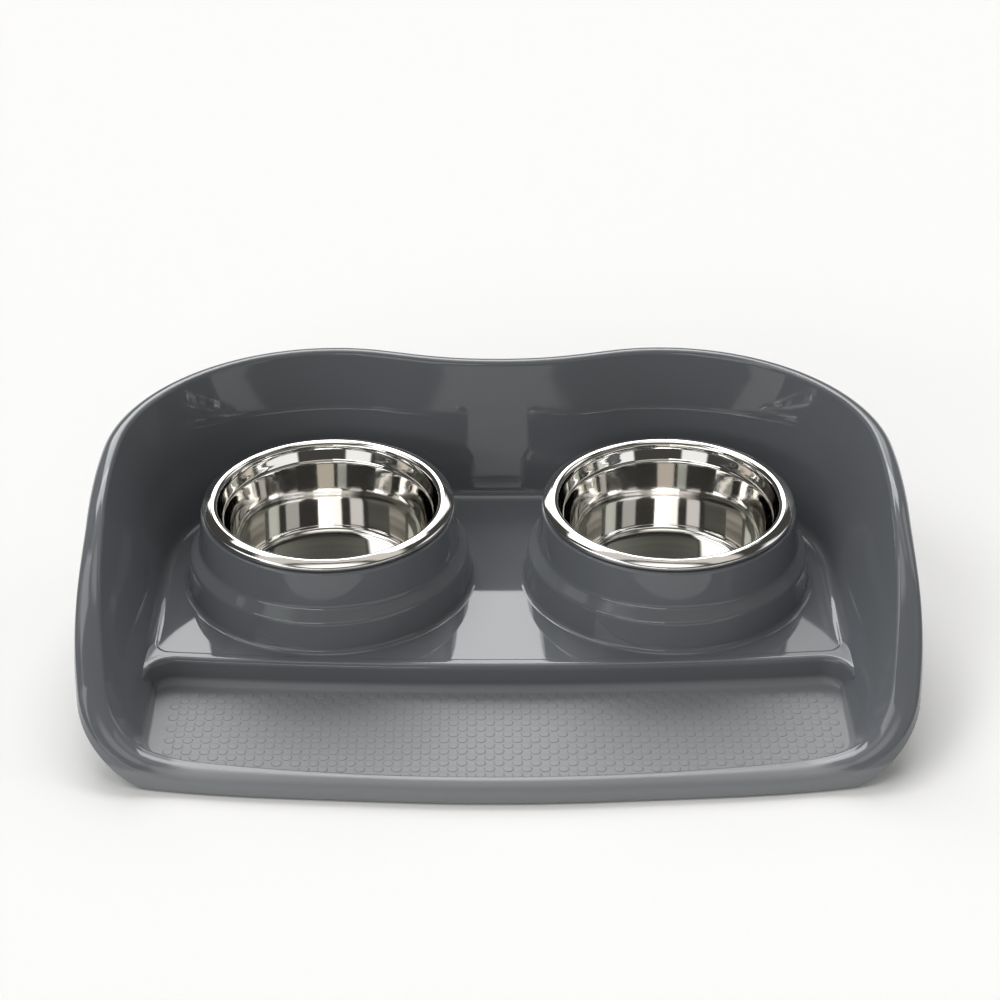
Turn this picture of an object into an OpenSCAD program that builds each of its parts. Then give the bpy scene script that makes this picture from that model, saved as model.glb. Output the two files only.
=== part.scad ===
// Raised double pet bowl: two steel bowls hang in one moulded tray.
// The tray has a splash wall with a rolled rim, a deck with two collars,
// a sunken apron along the front and four rubber feet underneath.
// Millimetres. z = 0 is the table, -Y is the front and x = 0 the middle.

/* [Bowls] */
// Distance between the middles of the two bowls
bowl_pitch = 216.8; // [200:0.2:260]
// Distance of the bowls behind the middle of the tray
bowl_y = 33.6; // [20:0.1:50]
// Outside radius of the rolled bead
bead_r = 80; // [70:0.5:90]
// Height of the bead's widest line above the table
bead_z = 80; // [70:0.5:100]
// Height of the rolled bead below its widest line
bead_round = 2.4; // [1.5:0.1:4]
// Width of the bead from its inner edge to its widest line
bead_w = 10; // [6:0.5:14]
// Rise of the bead's crown over its widest line
bead_crown = 3.2; // [2:0.1:5]
// Height of the steep band under the bead
band_h = 11.5; // [6:0.5:20]
// Inside radius at the foot of the steep band
band_r = 67.2; // [55:0.2:75]
// Width of the shoulder under the steep band
shoulder_w = 0.8; // [0:0.1:3]
// Inside radius at the foot of the sloping wall
bowl_foot_r = 58.5; // [40:0.5:70]
// Depth of the bowl from the bead's crown to the disc
bowl_depth = 60.5; // [40:0.5:70]
// Radius of the corner between wall and disc
bowl_corner = 4.5; // [2:0.5:10]
// Radius of the pressed disc in the bottom
disc_r = 55.5; // [30:0.5:65]
// Depth of the step round the pressed disc
disc_step = 1; // [0.4:0.1:2]
// Thickness of the steel sheet
sheet_t = 0.8; // [0.5:0.1:1.5]

/* [Collars] */
// Clearance between a bead and the collar's top
seat_gap = 0.3; // [0.2:0.05:1]
// Clearance between a bowl's band and the collar's bore
bore_gap = 0.5; // [0.3:0.1:2]
// Radius of the collar at its top edge
collar_r = 81; // [72:0.5:90]
// Outward slope of the collar's drum over its height
drum_flare = 2; // [0:0.5:6]
// Rounding of the collar's top edge
collar_round = 1.8; // [0.5:0.1:3]
// Height of the drum's foot above the table
drum_foot_z = 53.6; // [45:0.2:65]
// Radius of the hollow round the drum's foot
drum_fillet = 3.2; // [1:0.2:6]
// Radius of the ledge's rounded edge
ledge_r = 89.4; // [84:0.2:98]
// Height of the ledge's edge above the table
ledge_z = 46.5; // [40:0.5:60]
// Rounding of the ledge's edge
ledge_round = 3; // [1:0.2:6]
// Outward slope of the skirt between ledge and deck
skirt_flare = 2.2; // [0:0.2:8]
// Radius of the hollow where the skirt meets the deck
skirt_fillet = 9; // [3:0.5:12]
// Depth of the lip that guides the bowl inside the collar
guide_h = 9; // [4:0.5:20]

/* [Plates] */
// Thickness of the moulding
wall_t = 2.5; // [1.5:0.1:4]
// Height of the deck above the table
deck_z = 26; // [15:0.5:40]
// Height of the apron's floor above the table
floor_z = 8; // [5:0.5:14]
// Distance of the step in front of the bowls' middles
step_y = 105.8; // [95:0.1:115]
// Radius of the long bow that the step follows
step_bow_r = 2300; // [800:50:4000]
// Radius of the coves at the ends of the step, at their top
cove_r = 18; // [12:0.5:40]
// Radius of the coves at their foot
cove_foot_r = 15; // [8:0.5:36]
// Distance of the coves' middles from the tray's middle
cove_x = 199; // [170:0.5:205]
// Rounding of the step's top edge
step_round = 5; // [2:0.2:8]
// Radius of the hollow at the step's foot
step_fillet = 5; // [2:0.2:8]
// Slope of the step's face over its height
step_draft = 1.5; // [0:0.1:4]
// Rise of the deck's front lip over the deck
lip_h = 0.5; // [0.2:0.1:2]

/* [Plan of the splash wall's rim] */
// Distance of the rim's front edge before the bowls
rim_front = 198.8; // [180:0.2:230]
// Radius of the long bow along the front
rim_bow_r = 1080; // [600:20:3000]
// Radius of the rim's front corners
rim_corner_r = 34; // [20:0.5:60]
// Distance of the rim corners' middles from the tray's middle
rim_corner_x = 201.6; // [190:0.2:215]
// Outward run of the sides behind the corners, in degrees
rim_side_dir = 9.4; // [0:0.2:20]
// Radius of the round rear ends about the bowls
rim_lobe_r = 131.8; // [115:0.2:150]
// Where the round ends begin, in degrees
rim_lobe_start = 5.6; // [0:0.2:30]
// Where the round ends stop, in degrees
rim_lobe_end = 103; // [100:1:130]
// Distance of the rim behind the bowls, in the middle
rim_back = 117.5; // [100:0.5:130]
// Reach of the side's curve from the corner
rim_side_reach = 49.4; // [20:0.2:80]
// Reach of the side's curve from the round end
rim_lobe_reach = 53.3; // [20:0.2:80]
// Reach of the back's curve from the round end
rim_back_reach = 30; // [20:0.2:70]
// Reach of the back's curve from the middle
rim_mid_reach = 36; // [20:0.2:90]

/* [Plan of the splash wall's foot] */
// Distance of the foot's front edge before the bowls
foot_front = 194.8; // [180:0.2:230]
// Radius of the foot's bow along the front
foot_bow_r = 1080; // [600:20:3000]
// Radius of the foot's front corners
foot_corner_r = 20; // [10:0.5:50]
// Distance of the foot corners' middles from the tray's middle
foot_corner_x = 190.8; // [180:0.2:210]
// Outward run of the foot behind the corners, in degrees
foot_side_dir = 0; // [0:0.2:20]
// Radius of the foot's round rear ends
foot_lobe_r = 102.2; // [90:0.2:120]
// Where the foot's round ends begin, in degrees
foot_lobe_start = 0; // [0:0.2:30]
// Where the foot's round ends stop, in degrees
foot_lobe_end = 105; // [95:1:130]
// Distance of the foot behind the bowls, in the middle
foot_back = 91.7; // [80:0.5:110]
// Reach of the foot's side curve from the corner
foot_side_reach = 60; // [20:0.2:80]
// Reach of the foot's side curve from the round end
foot_lobe_reach = 60; // [20:0.2:80]
// Reach of the foot's back curve from the round end
foot_back_reach = 30; // [20:0.2:70]
// Reach of the foot's back curve from the middle
foot_mid_reach = 45; // [20:0.2:90]

/* [Height of the splash wall] */
// Height of the rim's inner edge along the front
rim_low_z = 11.9; // [10:0.1:20]
// Height of the rim's inner edge along the back
rim_high_z = 117.7; // [90:0.1:150]
// Drop of the rim in the middle of the back
rim_dip = 0.8; // [0:0.1:10]
// Length of the low front part from the middle to where it rises
rise_start = 178.4; // [150:0.2:210]
// Length along the rim where the rise is over
rise_end = 441.4; // [380:0.2:520]
// How long the low front holds on
rise_hold = 89.9; // [20:0.2:130]
// How early the rise slows down
rise_slow = 193; // [60:1:240]

/* [Rolled rim] */
// Width of the rolled rim along the front
roll_w_front = 11.8; // [8:0.1:20]
// Width of the rolled rim at the front corners
roll_w_corner = 17; // [8:0.1:22]
// Width of the rolled rim along the rear
roll_w_back = 11.6; // [8:0.1:20]
// Length from the front's middle to where the rim starts to widen
widen_start = 70; // [0:1:150]
// Length from the front's middle to where the rim is widest
widen_end = 215; // [160:1:240]
// Length from the front's middle to where the rim starts to narrow
narrow_start = 262; // [240:1:290]
// Length from the front's middle to where the rim is narrow again
narrow_end = 345; // [300:1:400]
// Height of the rolled rim's outer face along the sides and the back
roll_h = 11; // [8:0.2:20]
// Height of the rim's outer face at the front corners
roll_h_front = 16; // [8:0.2:20]
// Length from the front's middle to where the outer face gets lower
lift_start = 205; // [180:1:215]
// Length from the front's middle to where the outer face is low
lift_end = 235; // [220:1:280]
// Clearance of the rolled rim over the table
roll_clear = 1.5; // [0.5:0.1:4]
// Rise of the rim's crown over its inner edge
roll_crown = 0.6; // [0:0.1:2]
// Height of the rim's rounded outer shoulder
roll_shoulder = 6.5; // [3:0.1:9]
// Rounding of the rim's inner edge
edge_round = 2.5; // [0.5:0.1:4]
// Outward slope of the rolled rim's outer face
roll_draft = 0.8; // [0:0.1:3]
// Radius of the hollow where the wall meets the deck
wall_fillet = 6.5; // [2:0.1:9]
// Radius of the hollow where the wall meets the floor
floor_fillet = 1.4; // [0.6:0.1:4]
// Clearance of the tray's bottom edge over the table
base_clear = 2.5; // [1:0.1:5]

/* [Rubber feet] */
// Diameter of a foot
pad_d = 16; // [10:0.5:24]
// Rounding of a foot's lower edge
pad_round = 1; // [0.2:0.1:2]
// Clearance between a foot and its socket's ring
pad_gap = 0.3; // [0.1:0.05:1]
// Wall of the sockets and posts
post_t = 2.2; // [1.5:0.1:4]
// Distance of the front feet inside the foot corners' middles
pad_in = 16.8; // [0:0.2:60]
// Distance of the front feet behind the foot's front edge
pad_back = 32.8; // [20:0.2:60]
// Distance of the rear feet from the middle of their bowl
pad_r = 92; // [85:0.5:95]
// Direction of the rear feet from the middle of their bowl, in degrees
pad_turn = 48; // [20:1:80]

/* [Hidden] */
one = 1;
quarter = 90;
// sides of a full circle
fine = 120;
// points along one bend of a section
bend_n = 4;
roll_n = 3;
shoulder_n = 6;
crown_n = 6;
rise_n = 40;
step_n = 12;
// stations along half of the wall: front, corner, side, round end, back
runs = [9, 9, 18, 18, 7];
// shares of a length
half_share = 0.5;
bulge_share = 0.55;
crest_share = 0.58;
low_share = 0.45;
nib_share = 0.04;
sink_share = 0.05;
shift_share = 0.25;
// how far hidden faces run into the piece they join
bury = wall_t * half_share;
sink = wall_t * sink_share;
deep = sink + sink;
cut = wall_t;

bowl_x = bowl_pitch * half_share;
mouth_r = bead_r - bead_w;
crown_z = bead_z + bead_crown;
crest_r = mix(bead_r, mouth_r, crest_share);
band_z = crown_z - band_h;
disc_z = crown_z - bowl_depth;
ring_z = disc_z + disc_step;
bead_foot_z = bead_z - bead_round;
collar_z = bead_foot_z - seat_gap;
bore_r = mouth_r + sheet_t + bore_gap;
pad_h = floor_z - wall_t;
pad_x = foot_corner_x - pad_in;
pad_front = foot_front - pad_back;
base_z = base_clear;

function mix(a, b, t) = a + (b - a) * t;

// a share of the way from 0 to 1 that starts and ends softly
function ease(t) =
    let (s = max(0, min(one, t)))
    mix(s * s, one - (one - s) * (one - s), s);

// a round corner at k between two points, and a curve with two handles
function bend_at(a, k, b, t) = mix(mix(a, k, t), mix(k, b, t), t);

function bend(a, k, b, n) = [for (i = [0:n]) bend_at(a, k, b, i / n)];

function curve(a, b, c, d, n) = [for (i = [0:n])
    mix(bend_at(a, b, c, i / n), bend_at(b, c, d, i / n), i / n)];

function arc(c, r, a, b, n) = [for (i = [0:n])
    let (w = mix(a, b, i / n)) [c.x + r * cos(w), c.y + r * sin(w)]];

function unit(v) = v / norm(v);

function reverse(p) = [for (i = [0:len(p) - one]) p[len(p) - one - i]];

function short(p) = [for (i = [0:len(p) - one - one]) p[i]];

// Right half of a plan: bow, front corner, side, round end and back,
// from the middle of the front to the middle of the back.
// at = [front, corner x, back], r = [bow, corner, round end],
// turn_to = [side, start and end of the round end],
// reach = [of the side, its round end, the back's round end, the middle]
function half_plan(at, r, turn_to, reach) =
    let (
        lean = asin(at[1] / (r[0] - r[1])),
        bow = [0, r[0] - at[0]],
        corner = [at[1], bow.y - (r[0] - r[1]) * cos(lean)],
        lobe = [bowl_x, 0],
        a = corner + r[1] * [cos(turn_to[0]), -sin(turn_to[0])],
        b = lobe + r[2] * [cos(turn_to[1]), sin(turn_to[1])],
        c = lobe + r[2] * [cos(turn_to[2]), sin(turn_to[2])],
        a_way = [sin(turn_to[0]), cos(turn_to[0])],
        b_way = [-sin(turn_to[1]), cos(turn_to[1])],
        c_way = [-sin(turn_to[2]), cos(turn_to[2])]
    )
    concat(
        short(arc(bow, r[0], -quarter, lean - quarter, runs[0])),
        short(arc(corner, r[1], lean - quarter, -turn_to[0], runs[1])),
        short(curve(a, a + reach[0] * a_way, b - reach[1] * b_way, b, runs[2])),
        short(arc(lobe, r[2], turn_to[1], turn_to[2], runs[3])),
        curve(c, c + reach[2] * c_way, [reach[3], at[2]], [0, at[2]], runs[4])
    );

rim_half = half_plan(
    [rim_front, rim_corner_x, rim_back],
    [rim_bow_r, rim_corner_r, rim_lobe_r],
    [rim_side_dir, rim_lobe_start, rim_lobe_end],
    [rim_side_reach, rim_lobe_reach, rim_back_reach, rim_mid_reach]
);
foot_half = half_plan(
    [foot_front, foot_corner_x, foot_back],
    [foot_bow_r, foot_corner_r, foot_lobe_r],
    [foot_side_dir, foot_lobe_start, foot_lobe_end],
    [foot_side_reach, foot_lobe_reach, foot_back_reach, foot_mid_reach]
);
half_n = len(rim_half);
ring_n = half_n + half_n - one - one;

// place in the half list of a station of the whole ring
function fold(i) = i < half_n ? i : ring_n - i;

function whole(p) = [for (i = [0:ring_n - one])
    let (q = p[fold(i)]) i < half_n ? q : [-q.x, q.y]];

function outward(p) = [for (i = [0:len(p) - one])
    let (d = p[(i + one) % len(p)] - p[(i + len(p) - one) % len(p)])
    unit([d.y, -d.x])];

function lengths(p) = [for (i = 0, s = 0; i < len(p);
    s = s + (i + one < len(p) ? norm(p[i + one] - p[i]) : 0), i = i + one) s];

rise = curve(
    [rise_start, rim_low_z],
    [rise_start + rise_hold, rim_low_z],
    [rise_end - rise_slow, rim_high_z],
    [rise_end, rim_high_z],
    rise_n
);
run_s = lengths(rim_half);

// height of the rim's inner edge at a station of the half list
function rim_z(i) =
    let (p = rim_half[i], dip = p.y > 0 ? rim_dip * ease(one - p.x / bowl_x) : 0)
    lookup(run_s[i], rise) - dip;

// width of the rolled rim at a station of the half list
function roll_w(i) =
    let (
        wide = ease((run_s[i] - widen_start) / (widen_end - widen_start)),
        slim = ease((run_s[i] - narrow_start) / (narrow_end - narrow_start))
    )
    mix(mix(roll_w_front, roll_w_corner, wide), roll_w_back, slim);

// height of the rim's outer face at a station of the half list
function face_h(i) =
    mix(roll_h_front, roll_h, ease((run_s[i] - lift_start) / (lift_end - lift_start)));

// middle of the step's long bow, direction and middle of a cove at its end
step_mid = [0, step_bow_r - step_y];

function cove_lean(r) = asin(cove_x / (step_bow_r + r));

function cove_mid(r) = [cove_x, step_mid.y - (step_bow_r + r) * cos(cove_lean(r))];

// Plan of the step from left to right: cove, long bow and cove, each
// station with its point and its forward direction
function step_run(r) =
    let (
        lean = cove_lean(r),
        right = [for (i = [0:step_n])
            let (w = mix(quarter + lean, 0, i / step_n), way = [cos(w), sin(w)])
            [cove_mid(r) + r * way, -way]],
        bow = [for (i = [one:step_n - one])
            let (w = mix(-lean, lean, i / step_n) - quarter, way = [cos(w), sin(w)])
            [step_mid + step_bow_r * way, way]],
        left = [for (s = reverse(right)) [for (p = s) [-p.x, p.y]]]
    )
    concat(left, bow, right);

edge_run = step_run(cove_r);
foot_run = step_run(cove_foot_r);
ear_y = cove_mid(cove_r).y;

// height of the plate that meets the wall at a distance behind the bowls,
// size of the hollow there, and how far it bends: it runs out at the coves
function plate_z(y) = y > ear_y ? deck_z : floor_z;

function hollow_at(y) = y > ear_y ? wall_fillet : floor_fillet;

function bent_at(y) = ease(abs(y - ear_y) / cove_r - half_share);

rim_ring = whole(rim_half);
foot_ring = whole(foot_half);
rim_out = outward(rim_ring);
foot_out = outward(foot_ring);

function flat(p, z) = [p.x, p.y, z];

// point at a height on the line from the wall's foot to the rim
function on_wall(f, r, z, at) = flat(mix(f, r, (at - floor_z) / (z - floor_z)), at);

// Section of the wall at one station, from the hollow at its foot up the
// inside, over the rolled rim, down its outer face and back underneath.
function wall_section(i) =
    let (
        f = foot_ring[i],
        r = rim_ring[i],
        n = rim_out[i],
        m = foot_out[i],
        z = rim_z(fold(i)),
        w = roll_w(fold(i)),
        plate = plate_z(f.y),
        tall = z - plate,
        hollow = min(hollow_at(f.y), tall * low_share),
        bent = bent_at(f.y),
        low = plate - hollow * shift_share * (one - bent),
        k = on_wall(f, r, z, low),
        up = unit(flat(r, z) - k),
        start = k - mix(up, flat(m, 0), bent) * hollow - [0, 0, deep],
        edge = min(edge_round, tall * low_share),
        top = z + roll_crown,
        side = top - roll_shoulder,
        face = z - min(face_h(fold(i)), z - roll_clear),
        out = w - roll_draft,
        under = z - wall_t
    )
    concat(
        [
            flat(f, base_z),
            on_wall(f, r, z, min(floor_z - bury, low - hollow - cut - deep)),
            start - up * cut
        ],
        bend(start, k, k + up * hollow, bend_n),
        bend(flat(r, z) - up * edge, flat(r, top), flat(r + n * edge, top), roll_n),
        curve(
            flat(r + n * mix(edge, out, nib_share), top),
            flat(r + n * mix(edge, out, bulge_share), top),
            flat(r + n * out, mix(side, top, bulge_share)),
            flat(r + n * out, side),
            shoulder_n
        ),
        [
            flat(r + n * w, face),
            flat(r + n * (w - wall_t), face),
            flat(r + n * (out - wall_t), side),
            flat(r + n * mix(edge, out, half_share), under),
            flat(r + n * wall_t, under),
            flat(f + m * wall_t, base_z)
        ]
    );

// A skin over sections that all have the same number of points: a closed
// ring of them, or an open run of a sheet's sections with capped ends
module swept(sections, closed) {
    n = len(sections);
    k = len(sections[0]);
    last = closed ? n - one : n - one - one;
    sides = [for (i = [0:last], j = [0:k - one])
        let (
            a = i * k + j,
            b = (i + one) % n * k + j,
            c = (i + one) % n * k + (j + one) % k,
            d = i * k + (j + one) % k
        )
        each [[a, b, c], [a, c, d]]];
    end = (n - one) * k;
    ends = closed ? [] : [for (j = [0:k * half_share - one - one])
        let (a = j, b = j + one, c = k - one - b, d = k - one - a)
        each [[a, b, c], [a, c, d], [end + c, end + b, end + a], [end + d, end + c, end + a]]];
    polyhedron([for (s = sections) each s], concat(sides, ends));
}

module wall() {
    swept([for (i = [0:ring_n - one]) wall_section(i)], true);
}

// The room inside the wall's middle line: it trims the plates to the wall
module room() {
    low = [for (i = [0:ring_n - one]) flat(foot_ring[i] + foot_out[i] * bury, floor_z - wall_t - cut)];
    mid = [for (i = [0:ring_n - one]) flat(foot_ring[i] + foot_out[i] * bury, floor_z)];
    high = [for (i = [0:ring_n - one]) flat(rim_ring[i] + rim_out[i] * bury, rim_z(fold(i)))];
    n = ring_n;
    last = n + n + n;
    floor_mid = [0, 0, floor_z - wall_t - cut];
    peak = [0, 0, rim_high_z + rim_high_z];
    points = concat(low, mid, high, [floor_mid, peak]);
    faces = [for (i = [0:n - one])
        let (j = (i + one) % n)
        each [
            [i, i + n, j + n], [i, j + n, j],
            [i + n, i + n + n, j + n + n], [i + n, j + n + n, j + n],
            [i, j, last],
            [i + n + n, last + one, j + n + n]
        ]];
    polyhedron(points, faces);
}

// radius of the hollow at the foot of the step, station by station
function foot_hollow(i) =
    let (at = max(step_n - i, i + one + step_n - len(foot_run)) / step_n)
    mix(step_fillet, floor_fillet, ease(at));

// Section of the step: forward run and height, along the top from the deck
// to the floor and back underneath with the same number of points
function step_outline(hollow) =
    let (
        back = -step_round - wall_t,
        lip = -step_round - lip_h,
        top = deck_z + lip_h,
        foot = step_draft + hollow
    )
    concat(
        [[back, deck_z - sink], [lip, deck_z]],
        bend([-step_round, top], [0, top], [0, top - step_round], bend_n),
        bend([step_draft, floor_z + hollow], [step_draft, floor_z], [foot, floor_z], bend_n),
        [[foot + wall_t, floor_z - sink], [foot + wall_t, floor_z + sink - wall_t]],
        bend([foot, floor_z - wall_t], [step_draft - wall_t, floor_z - wall_t],
            [step_draft - wall_t, floor_z + hollow], bend_n),
        bend([-wall_t, deck_z - step_round], [-wall_t, deck_z - wall_t],
            [-step_round, deck_z - wall_t], bend_n),
        [[lip, deck_z - wall_t], [back, deck_z + sink - wall_t]]
    );

// One station of the step: its edge and its foot follow their own plans
function step_section(i) = [for (p = step_outline(foot_hollow(i)))
    let (
        down = max(0, min(one, (deck_z - p.y) / (deck_z - floor_z))),
        s = mix(edge_run[i], foot_run[i], down)
    )
    flat(s[0] + unit(s[1]) * p.x, p.y)];

module step() {
    swept([for (i = [0:len(edge_run) - one]) step_section(i)], false);
}

module both_sides() {
    children();
    mirror([one, 0, 0]) children();
}

// Flat deck behind the step and flat floor in front of it
module plates() {
    side = rim_corner_x + rim_corner_r + rim_corner_r;
    foot_y = cove_mid(cove_foot_r).y;
    deck_edge = [for (s = edge_run) s[0] - s[1] * (step_round + bury)];
    floor_edge = [for (i = [0:len(foot_run) - one])
        foot_run[i][0] + foot_run[i][1] * (step_draft + foot_hollow(i) + bury)];
    translate([0, 0, deck_z - wall_t])
        linear_extrude(wall_t)
            difference() {
                polygon(concat(deck_edge,
                    [[side, ear_y], [side, rim_lobe_r], [-side, rim_lobe_r], [-side, ear_y]]));
                both_sides() translate([bowl_x, 0]) circle(ledge_r + skirt_flare + bury, $fn = fine);
            }
    translate([0, 0, floor_z - wall_t])
        linear_extrude(wall_t)
            polygon(concat(floor_edge,
                [[side, foot_y], [side, -rim_front - cut], [-side, -rim_front - cut], [-side, foot_y]]));
}

// Ring that the bead rests on, drum, ledge and skirt, as one moulded sheet
module collar() {
    drum = [collar_r + drum_flare, drum_foot_z];
    ledge = [ledge_r, ledge_z];
    skirt = [ledge_r + skirt_flare, deck_z];
    down = unit(ledge - drum);
    out = skirt_fillet;
    rotate_extrude($fn = fine)
        polygon(concat(
            [[bore_r, collar_z]],
            bend([collar_r - collar_round, collar_z], [collar_r, collar_z],
                [collar_r, collar_z - collar_round], roll_n),
            bend(drum + [0, drum_fillet], drum, drum + down * drum_fillet, bend_n),
            bend(ledge - down * ledge_round, ledge, ledge - [0, ledge_round], bend_n),
            bend(skirt + [0, out], skirt, skirt + [out, -sink], bend_n),
            [
                skirt + [out, sink - wall_t],
                skirt - [0, wall_t],
                skirt + [-wall_t, wall_t],
                ledge - [wall_t, wall_t],
                drum - [wall_t, wall_t],
                [collar_r - wall_t, collar_z - wall_t],
                [bore_r + wall_t, collar_z - wall_t],
                [bore_r + wall_t, collar_z - guide_h],
                [bore_r, collar_z - guide_h]
            ]
        ));
}

function rear_pad() = [bowl_x + pad_r * cos(pad_turn), pad_r * sin(pad_turn)];

module sockets() {
    ring_r = pad_d * half_share + pad_gap;
    both_sides() {
        translate([pad_x, -pad_front, base_z])
            difference() {
                cylinder(h = floor_z - base_z - bury, r = ring_r + post_t, $fn = fine);
                translate([0, 0, -cut]) cylinder(h = floor_z, r = ring_r, $fn = fine);
            }
        translate([rear_pad().x, rear_pad().y, base_z])
            difference() {
                cylinder(h = deck_z - base_z - bury, r = ring_r + post_t, $fn = fine);
                translate([0, 0, -cut]) cylinder(h = pad_h - base_z + cut, r = ring_r, $fn = fine);
                translate([0, 0, pad_h - base_z + wall_t]) cylinder(h = deck_z, r = ring_r, $fn = fine);
            }
    }
}

module tray() {
    color("dimgray")
        translate([0, bowl_y, 0]) {
            wall();
            intersection() {
                room();
                union() {
                    plates();
                    step();
                }
            }
            both_sides() translate([bowl_x, 0, 0]) collar();
            sockets();
        }
}

// Pressed bowl with a rolled bead: inside from the middle up, then back
// down the outside
module bowl() {
    shoulder = [band_r - shoulder_w, band_z - shoulder_w];
    foot = [bowl_foot_r, ring_z];
    slope = unit(shoulder - foot);
    rotate_extrude($fn = fine)
        polygon(concat(
            [[0, disc_z], [disc_r, disc_z], [disc_r + disc_step * half_share, ring_z]],
            bend(foot - [bowl_corner, 0], foot, foot + slope * bowl_corner, bend_n),
            [shoulder, [band_r, band_z]],
            curve([mouth_r, bead_z], [mouth_r, mix(bead_z, crown_z, bulge_share)],
                [mix(crest_r, mouth_r, bulge_share), crown_z], [crest_r, crown_z], crown_n),
            curve([crest_r, crown_z], [mix(crest_r, bead_r, bulge_share), crown_z],
                [bead_r, mix(bead_z, crown_z, bulge_share)], [bead_r, bead_z], crown_n),
            bend([bead_r, bead_z], [bead_r, bead_foot_z], [bead_r - bead_round, bead_foot_z], bend_n),
            [
                [mouth_r + sheet_t, bead_foot_z],
                [band_r + sheet_t, band_z],
                shoulder + [sheet_t, -sheet_t * half_share]
            ],
            reverse(bend(foot + [-bowl_corner, -sheet_t], foot + [sheet_t, -sheet_t],
                foot + slope * bowl_corner + [sheet_t, 0], bend_n)),
            [
                [disc_r + disc_step, ring_z - sheet_t],
                [disc_r + disc_step * half_share, disc_z - sheet_t],
                [0, disc_z - sheet_t]
            ]
        ));
}

module bowl_left() {
    color("silver") translate([-bowl_x, bowl_y, 0]) bowl();
}

module bowl_right() {
    color("silver") translate([bowl_x, bowl_y, 0]) bowl();
}

module pad() {
    r = pad_d * half_share;
    rotate_extrude($fn = fine)
        polygon([[0, 0], [r - pad_round, 0], [r, pad_round], [r, pad_h], [0, pad_h]]);
}

module foot_front_left() {
    color("black") translate([-pad_x, bowl_y - pad_front, 0]) pad();
}

module foot_front_right() {
    color("black") translate([pad_x, bowl_y - pad_front, 0]) pad();
}

module foot_rear_left() {
    color("black") translate([-rear_pad().x, bowl_y + rear_pad().y, 0]) pad();
}

module foot_rear_right() {
    color("black") translate([rear_pad().x, bowl_y + rear_pad().y, 0]) pad();
}

tray();
bowl_left();
bowl_right();
foot_front_left();
foot_front_right();
foot_rear_left();
foot_rear_right();
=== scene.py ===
# %% [markdown]
# # A raised double pet bowl
# Two pressed steel bowls hang in one glossy grey tray. The tray has a tall
# splash wall with a rolled rim, a deck with two collars, and a low apron in
# front with rows of flat studs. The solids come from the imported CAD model;
# this file dresses them, lights them and looks at them from the same angle as
# the photograph.

# %% Load the frame
import math

import bpy
import numpy as np
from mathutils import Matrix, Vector
from mathutils.geometry import tessellate_polygon


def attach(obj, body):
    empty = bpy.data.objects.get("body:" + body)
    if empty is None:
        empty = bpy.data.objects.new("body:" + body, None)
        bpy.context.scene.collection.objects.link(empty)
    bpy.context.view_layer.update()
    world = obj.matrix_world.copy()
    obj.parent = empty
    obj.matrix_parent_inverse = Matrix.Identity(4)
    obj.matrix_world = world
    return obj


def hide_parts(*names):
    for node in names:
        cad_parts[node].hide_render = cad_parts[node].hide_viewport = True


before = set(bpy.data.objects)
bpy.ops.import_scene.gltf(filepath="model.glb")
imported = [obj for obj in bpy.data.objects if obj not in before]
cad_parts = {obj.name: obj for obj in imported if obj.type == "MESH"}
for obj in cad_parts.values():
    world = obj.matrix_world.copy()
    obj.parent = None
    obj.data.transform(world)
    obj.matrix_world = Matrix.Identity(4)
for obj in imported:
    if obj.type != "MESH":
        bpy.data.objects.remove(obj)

MM = 0.001
scene = bpy.context.scene
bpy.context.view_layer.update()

# %% [markdown]
# The camera stands in front of the tray and looks down at it by 31 degrees,
# with a long lens. A camera can be set by eye, or worked out from something
# of known size. Here it was worked out from the round bowls: a circle of known
# size tells how far away and how steep the view is, and two circles side by
# side also tell the lens.

# %% Camera
camera_data = bpy.data.cameras.new("camera")
camera_data.lens = 98.12
camera_data.sensor_width = 36.0
camera_data.clip_end = 100.0
camera = bpy.data.objects.new("camera", camera_data)
camera.location = (-0.0033, -1.4494, 0.9806)
camera.rotation_euler = (math.radians(90 - 31.23), 0.0, math.radians(-0.17))
scene.collection.objects.link(camera)
scene.camera = camera
scene.view_settings.view_transform = "Standard"
print("camera distance to the middle:", round(camera.location.length, 3), "m")

# %% [markdown]
# A moulded tray and pressed bowls are smooth skins with round edges. They could
# be modelled by hand, or with subdivision surfaces. Here every piece is built
# from lists of points instead, because its sizes are known in millimetres and
# it has to stand exactly where its solid stands. One helper turns points and
# faces into an object. It also makes the faces look outwards: the volume that
# a closed shell encloses is positive only when they do.

# %% Mesh helpers
def shell_volume(points, faces):
    total = 0.0
    for face in faces:
        a = points[face[0]]
        for j in range(1, len(face) - 1):
            total += np.dot(a, np.cross(points[face[j]], points[face[j + 1]]))
    return total / 6.0


def outward_faces(points, faces):
    if shell_volume(points, faces) < 0:
        return [tuple(reversed(face)) for face in faces]
    return faces


def make_piece(name, shells, sharp=40.0):
    """One object from closed shells in millimetres; sharp is in degrees."""
    points, faces = [], []
    for shell_points, shell_faces in shells:
        start = len(points)
        shell_points = np.asarray(shell_points, float)
        for face in outward_faces(shell_points, shell_faces):
            faces.append(tuple(start + j for j in face))
        points.extend(map(tuple, shell_points * MM))
    mesh = bpy.data.meshes.new(name)
    mesh.from_pydata(points, [], faces)
    mesh.validate()
    mesh.shade_smooth()
    mesh.set_sharp_from_angle(angle=math.radians(sharp))
    piece = bpy.data.objects.new(name, mesh)
    scene.collection.objects.link(piece)
    print(name, len(points), "points,", sum(len(f) - 2 for f in faces), "triangles")
    return piece


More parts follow.
